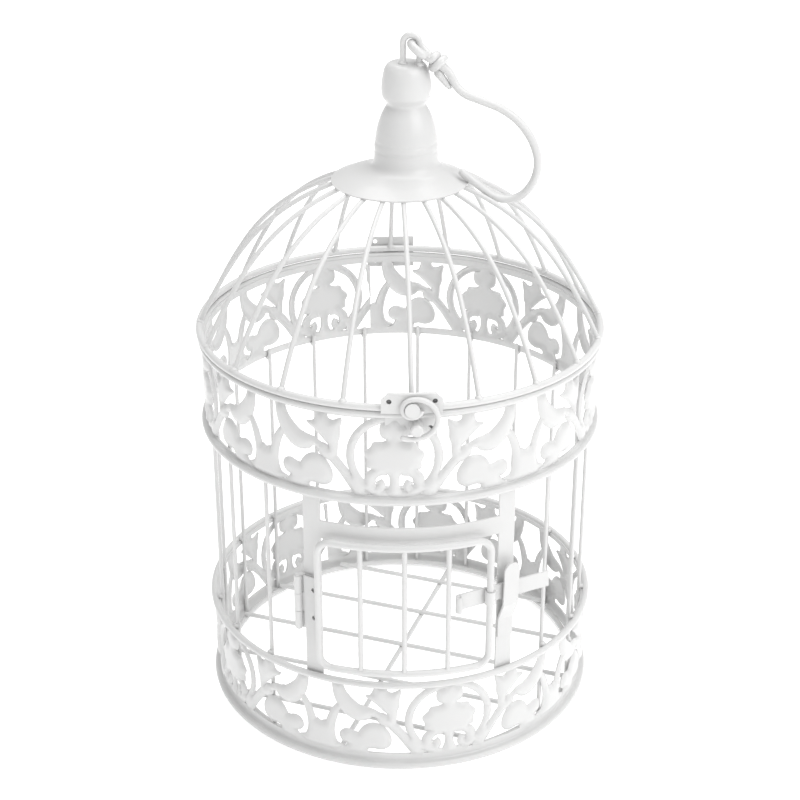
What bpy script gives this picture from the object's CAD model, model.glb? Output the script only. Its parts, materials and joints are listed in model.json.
import json
import math

import bpy
from bpy.props import FloatProperty, FloatVectorProperty, PointerProperty
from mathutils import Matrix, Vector
from mathutils.geometry import delaunay_2d_cdt
from mathutils.kdtree import KDTree


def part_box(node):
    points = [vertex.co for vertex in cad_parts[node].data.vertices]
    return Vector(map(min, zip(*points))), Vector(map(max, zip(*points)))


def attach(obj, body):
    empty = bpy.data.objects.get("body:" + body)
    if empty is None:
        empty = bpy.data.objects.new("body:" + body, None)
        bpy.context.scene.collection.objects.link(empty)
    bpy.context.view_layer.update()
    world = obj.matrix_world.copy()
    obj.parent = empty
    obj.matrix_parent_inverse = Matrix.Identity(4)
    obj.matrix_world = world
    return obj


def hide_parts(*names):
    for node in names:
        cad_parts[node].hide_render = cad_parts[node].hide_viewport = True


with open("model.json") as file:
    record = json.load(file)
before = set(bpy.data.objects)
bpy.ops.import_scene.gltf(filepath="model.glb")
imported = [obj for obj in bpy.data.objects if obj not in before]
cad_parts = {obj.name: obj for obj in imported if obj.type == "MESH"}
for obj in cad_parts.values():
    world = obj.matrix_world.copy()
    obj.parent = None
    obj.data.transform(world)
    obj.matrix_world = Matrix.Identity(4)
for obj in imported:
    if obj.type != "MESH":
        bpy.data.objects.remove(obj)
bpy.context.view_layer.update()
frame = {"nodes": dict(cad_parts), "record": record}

bl_info = {
    "name": "Wire Card Cage",
    "version": (1, 0, 0),
    "blender": (4, 5, 0),
    "location": "View3D > Sidebar > Card Cage",
    "description": "Builds the pierced bands, bent wires, fittings and paint of a round wire card cage",
    "category": "Add Mesh",
}

MM = 0.001
TAU = math.tau


# ---- frame ----

def node_low(name):
    return Vector(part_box(name)[0])


def node_high(name):
    return Vector(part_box(name)[1])


def at_azimuth(degrees, radius, height):
    """A point at an azimuth from the front, positive towards +X."""
    a = math.radians(degrees)
    return Vector((radius * math.sin(a), -radius * math.cos(a), height))


# ---- sizes ----

RING_WIRE = (node_high("base_ring") - node_low("base_ring")).z
RING_R = node_high("base_ring").x - RING_WIRE / 2
SLOTS = {p["node"]: p["material_slot"] for p in frame["record"]["subparts"]}

# The bands' outer face touches the rings, and each band bites a little into its rims
BAND_OUTER = RING_R - RING_WIRE / 2
RIM_BITE = 0.12 * MM
REPEATS_EACH_SIDE = 2

# Plain sheet under each band's pattern, in millimetres
BAND_SILLS = {"upper_band": 2.8, "lower_band": 7.8}

# In millimetres, how far from its edge a motif reaches its full relief, and how far from a rim it is no
# longer held down; at the rim it keeps RIM_SHARE of its relief
SWELL_REACH = 3.8
RIM_REACH = 3
RIM_SHARE = 0.35
EDGE_SAMPLE = 0.4

# Weld beads: their radii, how flat they are, and how far they sit inwards and off a ring's middle
RIBS = 20
BAR_PITCH = 18
BARS_PER_SIDE = range(2, 10)
WELD_SQUASH = 0.72
RIB_WELD_R = 2 * MM
RIB_WELD_INSET = 0.5 * MM
RIB_WELD_RISE = 1.5 * MM
BAR_WELD_R = 1.7 * MM
BAR_WELD_INSET = 1 * MM
BAR_WELD_RISES = (("lower_band_ring", 1.2 * MM), ("upper_band_lower_ring", -1.2 * MM))
STAPLE_WELD_R = 2.3 * MM

# Corners of a paint-filled seam between a band and a ring, in millimetres from the band's face and the
# ring's middle, and the side of each ring that the band is on
SEAM_SECTION = [(-0.3, 2.7), (0.15, 2.7), (0.35, 2.15), (0.8, 1.8), (1.6, 1.68), (1.2, 0.5), (-0.3, 0.5)]
SEAM_SIDES = (("base_ring", 1), ("lower_band_ring", -1),
              ("upper_band_lower_ring", 1), ("body_top_ring", -1))

# The cap, in millimetres: its outline as radius and height, and its beads as height, swell and width
CAP_OUTLINE = [(33.5, 276.1), (30, 277.6), (26, 279.2), (22.4, 280.4), (19, 281.7), (16.8, 283.4),
               (15.8, 285.4), (15.5, 288), (15.4, 291), (15.3, 294), (14.8, 297.5), (13.9, 302.3),
               (12.4, 307.2), (10.8, 310.6), (9.7, 312.6), (9.5, 313.8), (10, 315), (11.4, 317),
               (11.9, 320), (11.8, 323.4), (11.2, 327.4), (10.3, 330.6), (8.6, 332.8), (6, 333.5),
               (3, 333.6), (0.02, 333.6)]
CAP_BEADS = [(291.3, -0.22, 0.6), (293.3, 0.08, 1.1), (295.4, -0.22, 0.6)]

# The cap stands off the cage's axis above a blend that starts at CAP_LOW and is CAP_BLEND high
CAP_LOW = 278.5
CAP_BLEND = 4.5
CAP_SHIFT = 3 * MM
CAP_SHEET = 0.9 * MM

# The middle of the eye's bearing on the staple, the turn of the hook's plane about the vertical in
# degrees, and the staple's half width and legs
HOOK_PIVOT = Vector((5 * MM, -4 * MM, 343.2 * MM))
HOOK_TURN = -9
STAPLE_R = 3.9 * MM
STAPLE_LEG = 9.5 * MM

HOOK_D = 4.1 * MM

# The hook's eye and bow: each step of the bow is a length and 0, or a bend radius and a turn. From here to
# NECK_RETURN lengths are in millimetres and angles in degrees
EYE_HEADING = -36
EYE_REACH = 4.7
EYE_R = 4.6
EYE_HALF_GAP = 28
EYE_STEPS = 24
HOOK_STEPS = [(6.5, 0), (8.5, -28), (3, 0), (13.5, 44.5), (11.5, 0), (34, -55), (20.6, -56), (13, -87),
              (16.5, 0)]
NECK_START = 13.5

# The cut end of the hook's wire beyond its tip, as distance and thickness
TIP_TAPER = ((0.7, 0.94), (1.3, 0.78), (1.7, 0.5))

# The wire's tail beside the neck: its tip, the way from one point to the next, and its thickness at each
TAIL_TIP = (27.5, -6.1)
TAIL_STEP = (-0.9, 0.24)
TAIL_THICKNESS = (0.35, 0.55, 0.66, 0.72, 0.78, 0.83, 0.87, 0.9, 0.94, 1)

# The winding round the neck, which tightens towards the eye
WINDING_TURNS = 1.75
WINDING_STEPS = 42
WINDING_START = 18.4
WINDING_LENGTH = 6.6
WINDING_R = 3.7
WINDING_TIGHTENING = 1.2

# The wire on its way back from the eye to the neck, as distance along the neck and sideways
NECK_RETURN = ((10.6, -1.5), (12, -0.7))

# The clasp plates, with each one's body and its screw holes' azimuth either side of the front and height
PLATE_T = 0.9 * MM
PLATE_HOLES = (("clasp_upper_plate", "lid", 5.77, 206.2), ("clasp_lower_plate", "cage", 5, 190.75))
SEAT_R = 1.5 * MM
SEAT_DEPTH = 0.5 * MM
SEAT_BEVEL = 0.12 * MM
SEAT_INSET = 0.1 * MM

# The upper plate's rolled edge
ROLL_D = 2.2 * MM
ROLL_HALF_TURN = 6.4
ROLL_STEPS = 16
ROLL_END = 0.6
ROLL_INSET = 0.1 * MM
ROLL_DROP = 0.5 * MM

# The stage: the floor's size and glow, the world's strength as light and as backdrop, and each light's
# name, power, size and place
SENSOR_WIDTH = 36
FLOOR_SIZE = 80
FLOOR_GLOW = 0.4
WORLD_LIGHT = 0.56
WORLD_BACKDROP = 1.2
LIGHT_AIM = Vector((0, 0, 0.15))
LIGHTS = (("key", 20, 1.6, (1.2, -1.1, 1.4)),
          ("fill", 1.5, 1.6, (-0.6, -1.4, 1.2)),
          ("top", 24, 1.8, (0.1, 0.3, 1.9)))


# ---- settings ----

class BandSettings(bpy.types.PropertyGroup):
    """Sizes of the pierced and pressed bands."""
    period: FloatProperty(
        name="Period", description="Azimuth taken by one repeat of the pattern, in degrees",
        default=76.5, min=60, max=90)
    relief: FloatProperty(
        name="Relief", description="How far leaves and petals are pressed outwards",
        default=1.7 * MM, min=0, max=2.5 * MM, unit="LENGTH")
    thickness: FloatProperty(
        name="Thickness", description="Thickness of the sheet",
        default=0.8 * MM, min=0.3 * MM, max=1.2 * MM, unit="LENGTH")
    cell: FloatProperty(
        name="Cell", description="Distance between mesh points inside a motif, in millimetres",
        default=1.3, min=0.8, max=4)
    upper_medallion: FloatProperty(
        name="Upper medallion", description="Azimuth of the upper band's front medallion, in degrees",
        default=-4.5, min=-40, max=40)
    lower_medallion: FloatProperty(
        name="Lower medallion", description="Azimuth of the lower band's front medallion, in degrees",
        default=11.5, min=-40, max=40)


class PaintSettings(bpy.types.PropertyGroup):
    """Colour and surface of the enamel."""
    colour: FloatVectorProperty(
        name="Enamel", description="Colour of the enamel", subtype="COLOR", size=4,
        default=(0.63, 0.63, 0.627, 1.0), min=0, max=1)
    roughness: FloatProperty(
        name="Roughness", description="Roughness of the enamel", subtype="FACTOR",
        default=0.34, min=0, max=1)
    coat: FloatProperty(
        name="Coat", description="Weight of the clear gloss over the enamel", subtype="FACTOR",
        default=0.25, min=0, max=1)
    bump: FloatProperty(
        name="Bump", description="Strength of the spray paint's fine texture", subtype="FACTOR",
        default=0.12, min=0, max=1)


class StageSettings(bpy.types.PropertyGroup):
    """Camera and floor."""
    distance: FloatProperty(
        name="Distance", description="Level distance from the cage's axis to the camera",
        default=0.791, min=0.3, max=3, unit="LENGTH")
    height: FloatProperty(
        name="Height", description="Height of the camera",
        default=0.5411, min=0.1, max=2, unit="LENGTH")
    azimuth: FloatProperty(
        name="Azimuth", description="Azimuth of the camera from the front",
        subtype="ANGLE", default=math.radians(-3), min=-math.pi, max=math.pi)
    pitch: FloatProperty(
        name="Pitch", description="How far the camera looks down",
        subtype="ANGLE", default=0.4521, min=0, max=1.5)
    lens: FloatProperty(
        name="Lens", description="Focal length, in millimetres",
        default=76.9, min=20, max=200)
    floor_colour: FloatVectorProperty(
        name="Floor", description="Colour of the floor", subtype="COLOR", size=4,
        default=(0.98, 0.98, 0.98, 1.0), min=0, max=1)


# ---- shared modelling helpers ----

def finish_piece(obj, body, material, replaces=()):
    """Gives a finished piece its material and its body."""
    obj.data.materials.clear()
    obj.data.materials.append(material)
    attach(obj, body)
    if replaces:
        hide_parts(*replaces)


def mesh_object(name, points, faces):
    mesh = bpy.data.meshes.new(name)
    mesh.from_pydata([tuple(p) for p in points], [], faces)
    mesh.validate()
    obj = bpy.data.objects.new(name, mesh)
    bpy.context.scene.collection.objects.link(obj)
    return obj


def select_only(obj):
    bpy.ops.object.select_all(action="DESELECT")
    obj.select_set(True)
    bpy.context.view_layer.objects.active = obj


def apply_modifier(obj, kind, **values):
    select_only(obj)
    modifier = obj.modifiers.new(kind.title(), kind)
    for key, value in values.items():
        setattr(modifier, key, value)
    bpy.ops.object.modifier_apply(modifier=modifier.name)


def smoothed(obj, degrees):
    """Shades an object smooth, except across edges sharper than an angle."""
    select_only(obj)
    bpy.ops.object.shade_smooth_by_angle(angle=math.radians(degrees))
    return obj


def spun(name, section, closed=True, steps=160):
    """Turns a section, given as (radius, height), once round the cage's axis."""
    count = len(section)
    mesh = bpy.data.meshes.new(name)
    edges = [(i, (i + 1) % count) for i in range(count if closed else count - 1)]
    mesh.from_pydata([(r, 0, z) for r, z in section], edges, [])
    obj = bpy.data.objects.new(name, mesh)
    bpy.context.scene.collection.objects.link(obj)
    select_only(obj)
    bpy.ops.object.mode_set(mode="EDIT")
    bpy.ops.mesh.select_all(action="SELECT")
    bpy.ops.mesh.spin(steps=steps, angle=TAU, center=(0, 0, 0), axis=(0, 0, 1))
    bpy.ops.mesh.select_all(action="SELECT")
    bpy.ops.mesh.remove_doubles(threshold=0.00001)
    bpy.ops.mesh.normals_make_consistent(inside=False)
    bpy.ops.object.mode_set(mode="OBJECT")
    return obj


def wire(name, points, diameter, swell=None):
    """A round wire along its points, with a factor on its thickness at each point."""
    curve = bpy.data.curves.new(name, "CURVE")
    curve.dimensions = "3D"
    curve.bevel_depth = diameter / 2
    curve.bevel_resolution = 4
    curve.use_fill_caps = True
    line = curve.splines.new("POLY")
    line.points.add(len(points) - 1)
    for i, p in enumerate(points):
        line.points[i].co = (*p, 1)
        line.points[i].radius = swell[i] if swell else 1
    obj = bpy.data.objects.new(name, curve)
    bpy.context.scene.collection.objects.link(obj)
    select_only(obj)
    bpy.ops.object.convert(target="MESH")
    return smoothed(bpy.context.object, 60)


def joined(name, parts):
    """Makes one object of several."""
    bpy.ops.object.select_all(action="DESELECT")
    for part in parts:
        part.select_set(True)
    bpy.context.view_layer.objects.active = parts[0]
    bpy.ops.object.join()
    parts[0].name = name
    return parts[0]


def weld_beads(name, places, size):
    """Small rounded lumps of weld under paint, wider than they are high."""
    beads = []
    for place in places:
        bpy.ops.mesh.primitive_uv_sphere_add(segments=14, ring_count=8, radius=size, location=place,
                                             scale=(1, 1, WELD_SQUASH))
        beads.append(bpy.context.object)
    piece = joined(name, beads)
    bpy.ops.object.transform_apply(location=True, rotation=True, scale=True)
    return smoothed(piece, 80)


# ---- band pattern ----

# In millimetres: u runs along the band from a medallion's centre, and v up from the window's sill. The
# window is the pierced height, and a repeat is two half units

WINDOW = 39.6
HALF_UNIT = 64.8


def catmull(a, b, c, d, t):
    """A point between b and c of a smooth line through four points."""
    square = (2 * a - 5 * b + 4 * c - d) * t * t
    cube = (3 * b - a - 3 * c + d) * t ** 3
    return 0.5 * (2 * b + (c - a) * t + square + cube)


def smooth_closed(points, steps=5):
    """A closed outline through its points."""
    p = [Vector(q) for q in points]
    n = len(p)
    return [catmull(p[i - 1], p[i], p[(i + 1) % n], p[(i + 2) % n], k / steps)
            for i in range(n) for k in range(steps)]


def smooth_open(points, steps=6):
    """An open line through its points, each with a width as its last value."""
    p = [Vector(q) for q in points]
    last = len(p) - 1
    line = [catmull(p[max(i - 1, 0)], p[i], p[i + 1], p[min(i + 2, last)], k / steps)
            for i in range(last) for k in range(steps)]
    return line + [p[last]]


def stroke(points):
    """The outline of a line of varying width: each point is (u, v, width)."""
    line = smooth_open(points)
    left, right = [], []
    for i, p in enumerate(line):
        a, b = line[max(i - 1, 0)], line[min(i + 1, len(line) - 1)]
        along = (b.xy - a.xy).normalized()
        across = Vector((-along.y, along.x)) * p.z / 2
        left.append(p.xy + across)
        right.append(p.xy - across)
    return left + right[::-1]


def circle(u, v, r, count=24):
    angles = [TAU * i / count for i in range(count)]
    return [Vector((u + r * math.cos(a), v + r * math.sin(a))) for a in angles]


def ring_arcs(u, v, r, width, arcs=3, points=10, overlap=0.06):
    """A flat ring as strokes that overlap at their ends."""
    strokes = []
    turn = TAU * (1 + 2 * overlap) / arcs
    for k in range(arcs):
        first = TAU * (k - overlap) / arcs
        angles = [first + turn * i / points for i in range(points + 1)]
        strokes.append(stroke([(u + r * math.cos(a), v + r * math.sin(a), width) for a in angles]))
    return strokes


def mirrored(outline):
    return [Vector((-p.x, p.y)) for p in reversed(outline)]


def right_half_motifs():
    """Outlines from a medallion's centre to the trunk that ends the half unit."""
    tulip = smooth_closed([(27.4, 24.6), (25.2, 28.4), (25, 33), (24.2, 38.4), (28.2, 36.8), (30.8, 38),
                           (31.4, 42), (36.6, 42), (36.9, 38), (38, 35.2), (41.4, 34), (37.8, 31.2),
                           (34.6, 28.2), (31, 24.6)], 4)
    stalk = stroke([(29.6, 16, 4.2), (28.4, 20.6, 3.9), (28.6, 26, 5)])
    bud = smooth_closed([(28.4, 18.6), (29.9, 22), (32.6, 24.4), (34.8, 22.6), (35.6, 19.6), (33.4, 17.4),
                         (30.6, 16)], 3)
    stem = stroke([(14.4, -1, 6), (18.6, 4.6, 5), (23.8, 11.8, 4.4), (28.6, 17.6, 4.6), (33.4, 22, 3.8),
                   (37, 24, 3.4)])
    crescent = stroke([(35.6, 23.6, 2.8), (38.6, 24.4, 5), (42.4, 23.7, 8.6), (46.6, 24.2, 9.6),
                       (50.6, 27.6, 9.2), (53.6, 32.2, 7.6), (55.2, 37, 6), (55.6, 41.5, 5.8)])
    leaf = smooth_closed([(57, -1), (52.4, 1.4), (50.2, 4.8), (46.2, 8.4), (44.8, 12.2), (42.2, 16),
                          (38.2, 18.2), (34, 17.4), (31, 14.4), (29, 10), (29.2, 5.8), (31.2, 3.4),
                          (34.4, 2.4), (37.8, 2.9), (40.6, 2.2), (42.2, -1)], 4)
    curl = circle(50.4, 8.6, 4.3)
    curl_neck = stroke([(43, 7.5, 9), (46.2, 8, 7.4), (50, 8.6, 7.6)])
    trunk = stroke([(54.6, 26.6, 3), (57.4, 21.6, 4), (59.4, 15.4, 4.6), (60.6, 9, 6), (60.4, 3, 9),
                    (59, -1, 15)])
    root = [Vector(p) for p in ((HALF_UNIT, 14.2), (62.6, 15.4), (59.6, 12), (58.2, 4), (54, -1),
                                (HALF_UNIT, -1))]
    return [tulip, stalk, bud, stem, crescent, leaf, curl, curl_neck, trunk, root]


def medallion_motifs():
    """Outlines of the medallion: its ring, the shield and the two volutes under it."""
    half = [(2.8, 41.5), (3, 38), (6, 37), (6.6, 33.4), (5.6, 30.4), (3.4, 29), (5.4, 27.8), (9.4, 27.4),
            (10.6, 25), (13.6, 21.6), (12.2, 18), (12.2, 14.4), (8.8, 13.6), (5, 12.2),
            (2.3, 10.4), (2, 6), (3, 2.4), (5.4, -1)]
    side = [p.xy for p in smooth_open([(u, v, 0) for u, v in half], 3)]
    shield = side + mirrored(side)
    volute = stroke([(3.4, 12.8, 4.4), (7.6, 12.4, 4.4), (10.8, 9.6, 4.8), (10.8, 5.6, 5), (8, 3.4, 4.6),
                     (6.2, 5, 4), (7.4, 7.4, 4.2)])
    return ring_arcs(0, WINDOW / 2, 20.3, 3.5) + [shield, volute, mirrored(volute)]


def unit_outlines(sill, head):
    """One whole repeat of the pattern between its two rims."""
    half = right_half_motifs()
    top = WINDOW + head
    sill_rim = [Vector((-HALF_UNIT, -sill)), Vector((HALF_UNIT, -sill)), Vector((HALF_UNIT, 0)),
                Vector((-HALF_UNIT, 0))]
    head_rim = [Vector((-HALF_UNIT, WINDOW)), Vector((HALF_UNIT, WINDOW)), Vector((HALF_UNIT, top)),
                Vector((-HALF_UNIT, top))]
    outlines = [sill_rim, head_rim] + medallion_motifs() + half + [mirrored(m) for m in half]
    return [[Vector((min(max(p.x, -HALF_UNIT), HALF_UNIT), min(max(p.y, -sill), top))) for p in o]
            for o in outlines]


def signed_area(outline):
    return sum(a.x * b.y - b.x * a.y for a, b in zip(outline, outline[1:] + outline[:1])) / 2


def divided(outline, longest):
    """The same closed outline with no side longer than a length."""
    points = []
    for a, b in zip(outline, outline[1:] + outline[:1]):
        steps = max(1, math.ceil((b - a).length / longest))
        points += [a.lerp(b, k / steps) for k in range(steps)]
    return points


def sheet_mesh(outlines, cell):
    """Triangles that cover every outline, with extra points inside at a regular distance."""
    points, faces = [], []
    for outline in outlines:
        clean = [p for i, p in enumerate(outline) if (p - outline[i - 1]).length > 1e-4]
        if signed_area(clean) < 0:
            clean.reverse()
        clean = divided(clean, cell)
        faces.append(list(range(len(points), len(points) + len(clean))))
        points += clean
    low = Vector((min(p.x for p in points), min(p.y for p in points)))
    high = Vector((max(p.x for p in points), max(p.y for p in points)))
    rows = math.ceil((high.y - low.y) / (cell * 0.87))
    columns = math.ceil((high.x - low.x) / cell)
    for j in range(rows + 1):
        for i in range(columns if j % 2 else columns + 1):
            u = low.x + (high.x - low.x) * (i + 0.5 * (j % 2)) / columns
            points.append(Vector((u, low.y + (high.y - low.y) * j / rows)))
    flat, _, triangles, _, _, source = delaunay_2d_cdt(points, [], faces, 0, 1e-4)
    kept = [t for t, s in zip(triangles, source) if s]
    return flat, kept


def edge_distances(points, faces):
    """Distance of every point from the nearest open edge that isn't an end of the repeat."""
    count = {}
    for f in faces:
        for a, b in zip(f, f[1:] + f[:1]):
            key = (min(a, b), max(a, b))
            count[key] = count.get(key, 0) + 1
    side = HALF_UNIT - 0.01
    open_edges = [(a, b) for (a, b), n in count.items()
                  if n == 1 and not (abs(points[a].x) > side and abs(points[b].x) > side)]
    samples = []
    for a, b in open_edges:
        steps = max(1, math.ceil((points[a] - points[b]).length / EDGE_SAMPLE))
        samples += [points[a].lerp(points[b], k / steps) for k in range(steps + 1)]
    tree = KDTree(len(samples))
    for i, p in enumerate(samples):
        tree.insert((p.x, p.y, 0), i)
    tree.balance()
    return [tree.find((p.x, p.y, 0))[2] for p in points]


def band_unit(sill, head, settings):
    """One flat repeat of the band: points as (u, v, relief) in millimetres, and triangles."""
    points, faces = sheet_mesh(unit_outlines(sill, head), settings.cell)
    distances = edge_distances(points, faces)
    peak = settings.relief / MM
    shaped = []
    for p, d in zip(points, distances):
        inside = min(max(min(p.y, WINDOW - p.y) / RIM_REACH + RIM_SHARE, 0), 1)
        swell = min(d / SWELL_REACH, 1)
        shaped.append(Vector((p.x, p.y, peak * swell * (2 - swell) * inside)))
    return shaped, faces


def cut_unit(unit, start):
    """The part of a flat repeat that comes after a start along it."""
    sheet = mesh_object("band_end", *unit)
    select_only(sheet)
    bpy.ops.object.mode_set(mode="EDIT")
    bpy.ops.mesh.select_all(action="SELECT")
    bpy.ops.mesh.bisect(plane_co=(start, 0, 0), plane_no=(1, 0, 0), clear_inner=True)
    bpy.ops.object.mode_set(mode="OBJECT")
    points = [v.co.copy() for v in sheet.data.vertices]
    faces = [list(f.vertices) for f in sheet.data.polygons]
    bpy.data.objects.remove(sheet)
    return points, faces


def build_band(name, low, sill, head, first, settings):
    """Wraps the repeats round the cage, cuts the rear one at the seam and thickens the sheet."""
    mid = BAND_OUTER - settings.thickness / 2 + RIM_BITE
    scale = settings.period / (2 * HALF_UNIT)
    repeats = range(-REPEATS_EACH_SIDE, REPEATS_EACH_SIDE + 1)
    overrun = settings.period * len(repeats) - 360
    whole = band_unit(sill, head, settings)
    cut = cut_unit(whole, overrun / scale - HALF_UNIT)
    points, triangles = [], []
    for k in repeats:
        base = len(points)
        unit, faces = cut if k == repeats[0] else whole
        for p in unit:
            azimuth = first + k * settings.period + p.x * scale
            points.append(at_azimuth(azimuth, mid + p.z * MM, low + (p.y + sill) * MM))
        triangles += [[base + i for i in f] for f in faces]
    band = mesh_object(name, points, triangles)
    select_only(band)
    bpy.ops.object.mode_set(mode="EDIT")
    bpy.ops.mesh.select_all(action="SELECT")
    bpy.ops.mesh.remove_doubles(threshold=0.00002)
    bpy.ops.mesh.delete_loose()
    bpy.ops.mesh.select_all(action="SELECT")
    bpy.ops.mesh.normals_make_consistent(inside=False)
    bpy.ops.object.mode_set(mode="OBJECT")
    apply_modifier(band, "SOLIDIFY", thickness=settings.thickness, offset=0.0, use_even_offset=False)
    return smoothed(band, 50)


# ---- hook ----

def bent_path(steps, start, cell=1.2):
    """Points of a wire bent in its own plane: each step is a length and 0, or a bend radius and a turn."""
    place, heading, points = Vector((start, 0)), 0.0, [Vector((start, 0))]
    for size, turn in steps:
        bend = math.radians(turn)
        length = size * abs(bend) if turn else size
        count = max(1, math.ceil(length / cell))
        for _ in range(count):
            heading += bend / count / 2
            place = place + Vector((math.cos(heading), math.sin(heading))) * length / count
            heading += bend / count / 2
            points.append(place)
    return points


def hook_route():
    """The hook's wire as (along the neck, across it in the hook's plane, sideways, thickness)."""
    route = [(TAIL_TIP[0] + TAIL_STEP[0] * i, TAIL_TIP[1] + TAIL_STEP[1] * i, 0, thickness)
             for i, thickness in enumerate(TAIL_THICKNESS)]
    for i in range(WINDING_STEPS + 1):
        t = i / WINDING_STEPS
        angle = math.pi - TAU * WINDING_TURNS * t
        r = WINDING_R - WINDING_TIGHTENING * t
        route.append((WINDING_START - WINDING_LENGTH * t, r * math.cos(angle), -r * math.sin(angle), 1))
    for i in range(EYE_STEPS + 1):
        angle = math.radians(-EYE_HALF_GAP - (360 - 2 * EYE_HALF_GAP) * i / EYE_STEPS)
        route.append((EYE_REACH + EYE_R * math.cos(angle), 0, -EYE_R * math.sin(angle), 1))
    route += [(a, 0, n, 1) for a, n in NECK_RETURN]
    bow = bent_path(HOOK_STEPS, NECK_START)
    route += [(p.x, p.y, 0, 1) for p in bow]
    tip = bow[-1]
    along = (tip - bow[-2]).normalized()
    route += [(tip.x + along.x * d, tip.y + along.y * d, 0, thickness) for d, thickness in TIP_TAPER]
    return route


# ---- materials ----

def enamel(name, paint, grain, extra_gloss=0.0):
    """Sprayed white enamel: fine orange peel, faint runs of thicker paint and a slight change of tone."""
    material = bpy.data.materials.new(name)
    material.use_nodes = True
    nodes, links = material.node_tree.nodes, material.node_tree.links
    shader = nodes["Principled BSDF"]
    shader.inputs["IOR"].default_value = 1.5
    shader.inputs["Coat Weight"].default_value = paint.coat + extra_gloss
    shader.inputs["Coat Roughness"].default_value = 0.18
    place = nodes.new("ShaderNodeTexCoord")
    tone = nodes.new("ShaderNodeTexNoise")
    tone.inputs["Scale"].default_value = 22
    tone.inputs["Detail"].default_value = 3
    links.new(place.outputs["Object"], tone.inputs["Vector"])
    ramp = nodes.new("ShaderNodeValToRGB")
    base = Vector(paint.colour[:3])
    ramp.color_ramp.elements[0].position = 0.3
    ramp.color_ramp.elements[0].color = (*(base * 0.965), 1)
    ramp.color_ramp.elements[1].position = 0.7
    ramp.color_ramp.elements[1].color = (*base, 1)
    links.new(tone.outputs["Fac"], ramp.inputs["Fac"])
    links.new(ramp.outputs["Color"], shader.inputs["Base Color"])
    gloss = nodes.new("ShaderNodeMapRange")
    gloss.inputs["To Min"].default_value = paint.roughness - 0.06
    gloss.inputs["To Max"].default_value = paint.roughness + 0.08
    links.new(tone.outputs["Fac"], gloss.inputs["Value"])
    links.new(gloss.outputs["Result"], shader.inputs["Roughness"])
    peel = nodes.new("ShaderNodeTexNoise")
    peel.inputs["Scale"].default_value = grain
    peel.inputs["Detail"].default_value = 2
    links.new(place.outputs["Object"], peel.inputs["Vector"])
    bump = nodes.new("ShaderNodeBump")
    bump.inputs["Strength"].default_value = paint.bump
    bump.inputs["Distance"].default_value = 0.2 * MM
    links.new(peel.outputs["Fac"], bump.inputs["Height"])
    links.new(bump.outputs["Normal"], shader.inputs["Normal"])
    return material


def get_material(name):
    material = bpy.data.materials.get(name)
    if material is None:
        raise RuntimeError(f"mix the enamel before using {name}")
    return material


# ---- operators ----

class CARDCAGE_OT_stage(bpy.types.Operator):
    """Set up the pale floor, the soft lights and the camera"""
    bl_idname = "cardcage.stage"
    bl_label = "Stage"

    def execute(self, context):
        s = context.scene.cardcage_stage
        a = s.azimuth
        bpy.ops.object.camera_add(location=(s.distance * math.sin(a), -s.distance * math.cos(a), s.height),
                                  rotation=(math.pi / 2 - s.pitch, 0, a))
        camera = context.object
        camera.name = "camera"
        camera.data.lens = s.lens
        camera.data.sensor_width = SENSOR_WIDTH
        context.scene.camera = camera
        bpy.ops.mesh.primitive_plane_add(size=FLOOR_SIZE, location=(0, 0, 0))
        floor = context.object
        floor.name = "floor"
        material = bpy.data.materials.new("floor_paper")
        material.use_nodes = True
        shader = material.node_tree.nodes["Principled BSDF"]
        shader.inputs["Base Color"].default_value = s.floor_colour
        shader.inputs["Roughness"].default_value = 0.9
        shader.inputs["Emission Color"].default_value = s.floor_colour
        shader.inputs["Emission Strength"].default_value = FLOOR_GLOW
        floor.data.materials.append(material)
        for name, energy, size, place in LIGHTS:
            bpy.ops.object.light_add(type="AREA", location=place)
            light = context.object
            light.name = name
            light.data.energy = energy
            light.data.size = size
            aim = LIGHT_AIM - Vector(place)
            light.rotation_euler = aim.to_track_quat("-Z", "Y").to_euler()
        world = bpy.data.worlds.new("studio")
        world.use_nodes = True
        backdrop = world.node_tree.nodes["Background"]
        backdrop.inputs["Color"].default_value = (1, 1, 1, 1)
        seen = world.node_tree.nodes.new("ShaderNodeLightPath")
        strength = world.node_tree.nodes.new("ShaderNodeMapRange")
        strength.inputs["To Min"].default_value = WORLD_LIGHT
        strength.inputs["To Max"].default_value = WORLD_BACKDROP
        world.node_tree.links.new(seen.outputs["Is Camera Ray"], strength.inputs["Value"])
        world.node_tree.links.new(strength.outputs["Result"], backdrop.inputs["Strength"])
        context.scene.world = world
        context.scene.view_settings.view_transform = "Standard"
        return {"FINISHED"}


class CARDCAGE_OT_enamel(bpy.types.Operator):
    """Mix the white enamels for wire, sheet and fittings, and paint the CAD parts with them"""
    bl_idname = "cardcage.enamel"
    bl_label = "Enamel"

    def execute(self, context):
        paint = context.scene.cardcage_paint
        mixed = {
            "wire_paint": enamel("wire_enamel", paint, 900),
            "sheet_paint": enamel("sheet_enamel", paint, 700),
            "fitting_paint": enamel("fitting_enamel", paint, 1100, 0.1),
        }
        enamel("cap_enamel", paint, 260)
        shade = enamel("hole_shade", paint, 900)
        dark, less_dark = shade.node_tree.nodes["Color Ramp"].color_ramp.elements
        dark.color = (0.05, 0.05, 0.05, 1)
        less_dark.color = (0.12, 0.12, 0.12, 1)
        for name, obj in frame["nodes"].items():
            obj.data.materials.clear()
            obj.data.materials.append(mixed[SLOTS[name]])
        return {"FINISHED"}


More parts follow.
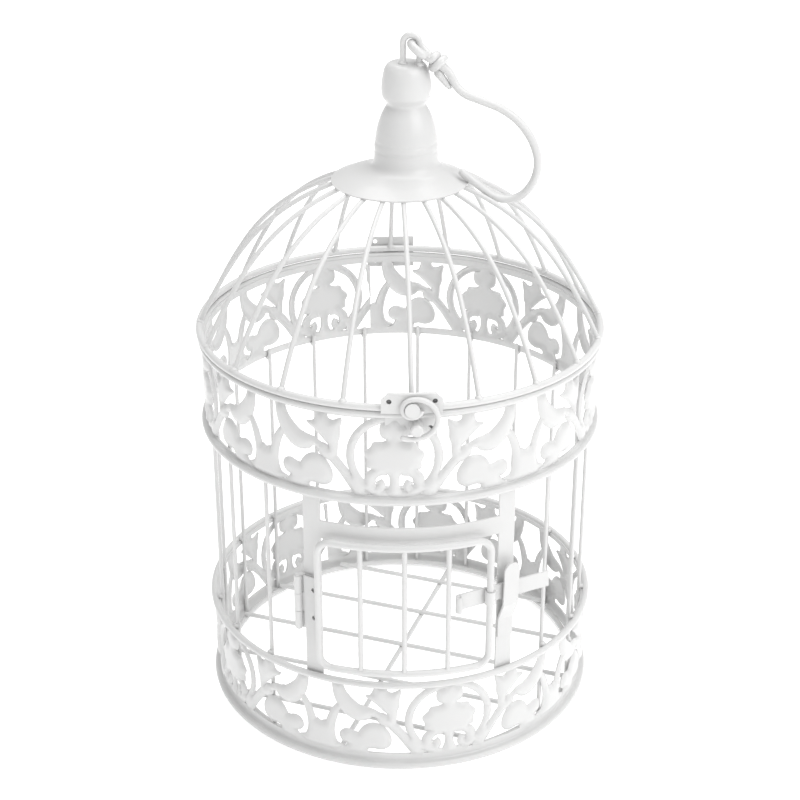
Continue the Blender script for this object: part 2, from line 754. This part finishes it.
class CARDCAGE_OT_bands(bpy.types.Operator):
    """Cut, press and roll the two pierced bands"""
    bl_idname = "cardcage.bands"
    bl_label = "Pierced bands"

    def execute(self, context):
        s = context.scene.cardcage_bands
        material = get_material("sheet_enamel")
        for node, medallion in (("upper_band", s.upper_medallion), ("lower_band", s.lower_medallion)):
            low, high = node_low(node).z, node_high(node).z
            sill = BAND_SILLS[node]
            head = (high - low) / MM - sill - WINDOW
            band = build_band(node + "_sheet", low, sill, head, medallion, s)
            finish_piece(band, "cage", material, (node,))
        return {"FINISHED"}


class CARDCAGE_OT_seams(bpy.types.Operator):
    """Run the paint-filled seams along the bands and put weld beads where wires meet"""
    bl_idname = "cardcage.seams"
    bl_label = "Seams and welds"

    def execute(self, context):
        material = get_material("wire_enamel")
        for ring, side in SEAM_SIDES:
            middle = (node_low(ring).z + node_high(ring).z) / 2
            section = [(BAND_OUTER + dr * MM, middle + side * dz * MM) for dr, dz in SEAM_SECTION]
            finish_piece(smoothed(spun(ring + "_seam", section), 50), "cage", material)
        lid_middle = (node_low("lid_ring").z + node_high("lid_ring").z) / 2
        lid_r = node_high("lid_ring").x - RING_WIRE / 2
        feet = [at_azimuth(i * 360 / RIBS, lid_r - RIB_WELD_INSET, lid_middle + RIB_WELD_RISE)
                for i in range(RIBS)]
        finish_piece(weld_beads("rib_welds", feet, RIB_WELD_R), "lid", material)
        bars = []
        for side in (-1, 1):
            for i in BARS_PER_SIDE:
                azimuth = side * (i + 0.5) * BAR_PITCH
                for ring, rise in BAR_WELD_RISES:
                    height = node_high(ring).z - RING_WIRE / 2 + rise
                    bars.append(at_azimuth(azimuth, BAND_OUTER - BAR_WELD_INSET, height))
        finish_piece(weld_beads("bar_welds", bars, BAR_WELD_R), "cage", material)
        return {"FINISHED"}


class CARDCAGE_OT_cap(bpy.types.Operator):
    """Spin the cap from its outline with its beads, and put weld on the staple's legs"""
    bl_idname = "cardcage.cap"
    bl_label = "Spun cap"

    def execute(self, context):
        section = []
        for r, z, _ in smooth_open([(r, z, 0) for r, z in CAP_OUTLINE], 7):
            swell = sum(h * math.exp(-((z - at) / w) ** 2) for at, h, w in CAP_BEADS)
            section.append(((r + swell) * MM, z * MM))
        cap = spun("spun_cap", section, closed=False, steps=128)
        for vertex in cap.data.vertices:
            rise = min(max((vertex.co.z / MM - CAP_LOW) / CAP_BLEND, 0), 1)
            vertex.co.x += CAP_SHIFT * rise * rise * (3 - 2 * rise)
        apply_modifier(cap, "SOLIDIFY", thickness=CAP_SHEET, offset=-1.0)
        finish_piece(smoothed(cap, 50), "lid", get_material("cap_enamel"),
                     ("finial_cap",))
        turn = math.radians(HOOK_TURN)
        out = Vector((math.cos(turn), math.sin(turn), 0))
        legs = [HOOK_PIVOT + out * side * STAPLE_R - Vector((0, 0, STAPLE_LEG)) for side in (-1, 1)]
        finish_piece(weld_beads("staple_welds", legs, STAPLE_WELD_R), "lid",
                     get_material("wire_enamel"))
        return {"FINISHED"}


class CARDCAGE_OT_hook(bpy.types.Operator):
    """Bend the hanging hook from one wire: tail, winding, eye, neck and bow"""
    bl_idname = "cardcage.hook"
    bl_label = "Hanging hook"

    def execute(self, context):
        route = hook_route()
        turn, heading = math.radians(HOOK_TURN), math.radians(EYE_HEADING)
        out = Vector((math.cos(turn), math.sin(turn), 0))
        side = Vector((math.sin(turn), -math.cos(turn), 0))
        up = Vector((0, 0, 1))
        along = out * math.cos(heading) + up * math.sin(heading)
        across = up * math.cos(heading) - out * math.sin(heading)
        points = [HOOK_PIVOT + (along * a + across * h + side * n) * MM for a, h, n, _ in route]
        hook = wire("wound_hook", points, HOOK_D, [w for _, _, _, w in route])
        finish_piece(hook, "hook", get_material("wire_enamel"), ("hanging_hook",))
        return {"FINISHED"}


class CARDCAGE_OT_clasp_plates(bpy.types.Operator):
    """Roll the top edge of the clasp's upper plate and seat the screw holes of both plates"""
    bl_idname = "cardcage.clasp_plates"
    bl_label = "Clasp plates"

    def execute(self, context):
        plate_r = -node_low("clasp_upper_plate").y - PLATE_T
        top = node_high("clasp_upper_plate").z
        azimuths = [-ROLL_HALF_TURN + 2 * ROLL_HALF_TURN * i / ROLL_STEPS for i in range(ROLL_STEPS + 1)]
        edge = [at_azimuth(azimuth, plate_r - ROLL_INSET, top - ROLL_DROP) for azimuth in azimuths]
        swell = [ROLL_END] + [1] * (ROLL_STEPS - 1) + [ROLL_END]
        finish_piece(wire("clasp_plate_roll", edge, ROLL_D, swell), "lid",
                     get_material("fitting_enamel"))
        shade = get_material("hole_shade")
        for node, body, half_turn, height in PLATE_HOLES:
            radius = -node_low(node).y - PLATE_T - SEAT_INSET
            seats = []
            for azimuth in (-half_turn, half_turn):
                place = at_azimuth(azimuth, radius, height * MM)
                bpy.ops.mesh.primitive_cylinder_add(vertices=24, radius=SEAT_R, depth=SEAT_DEPTH,
                                                    location=place,
                                                    rotation=(math.pi / 2, 0, math.radians(azimuth)))
                seats.append(context.object)
            piece = joined(node + "_hole_seats", seats)
            bpy.ops.object.transform_apply(location=True, rotation=True, scale=True)
            apply_modifier(piece, "BEVEL", width=SEAT_BEVEL, segments=2)
            finish_piece(smoothed(piece, 40), body, shade)
        return {"FINISHED"}


class CARDCAGE_PT_panel(bpy.types.Panel):
    """Lists the steps that build the cage"""
    bl_idname = "CARDCAGE_PT_panel"
    bl_label = "Card Cage"
    bl_space_type = "VIEW_3D"
    bl_region_type = "UI"
    bl_category = "Card Cage"

    def draw(self, context):
        for step in STEPS:
            self.layout.operator(step.bl_idname)


STEPS = (CARDCAGE_OT_stage, CARDCAGE_OT_enamel, CARDCAGE_OT_bands, CARDCAGE_OT_seams, CARDCAGE_OT_cap,
         CARDCAGE_OT_hook, CARDCAGE_OT_clasp_plates)
SETTINGS = (("cardcage_bands", BandSettings),
            ("cardcage_paint", PaintSettings),
            ("cardcage_stage", StageSettings))


def register():
    for name, group in SETTINGS:
        bpy.utils.register_class(group)
        setattr(bpy.types.Scene, name, PointerProperty(type=group))
    for step in STEPS:
        bpy.utils.register_class(step)
    bpy.utils.register_class(CARDCAGE_PT_panel)


def unregister():
    bpy.utils.unregister_class(CARDCAGE_PT_panel)
    for step in reversed(STEPS):
        bpy.utils.unregister_class(step)
    for name, group in reversed(SETTINGS):
        delattr(bpy.types.Scene, name)
        bpy.utils.unregister_class(group)


def main():
    register()
    for step in STEPS:
        category, name = step.bl_idname.split(".")
        getattr(getattr(bpy.ops, category), name)()


if __name__ == "__main__":
    main()
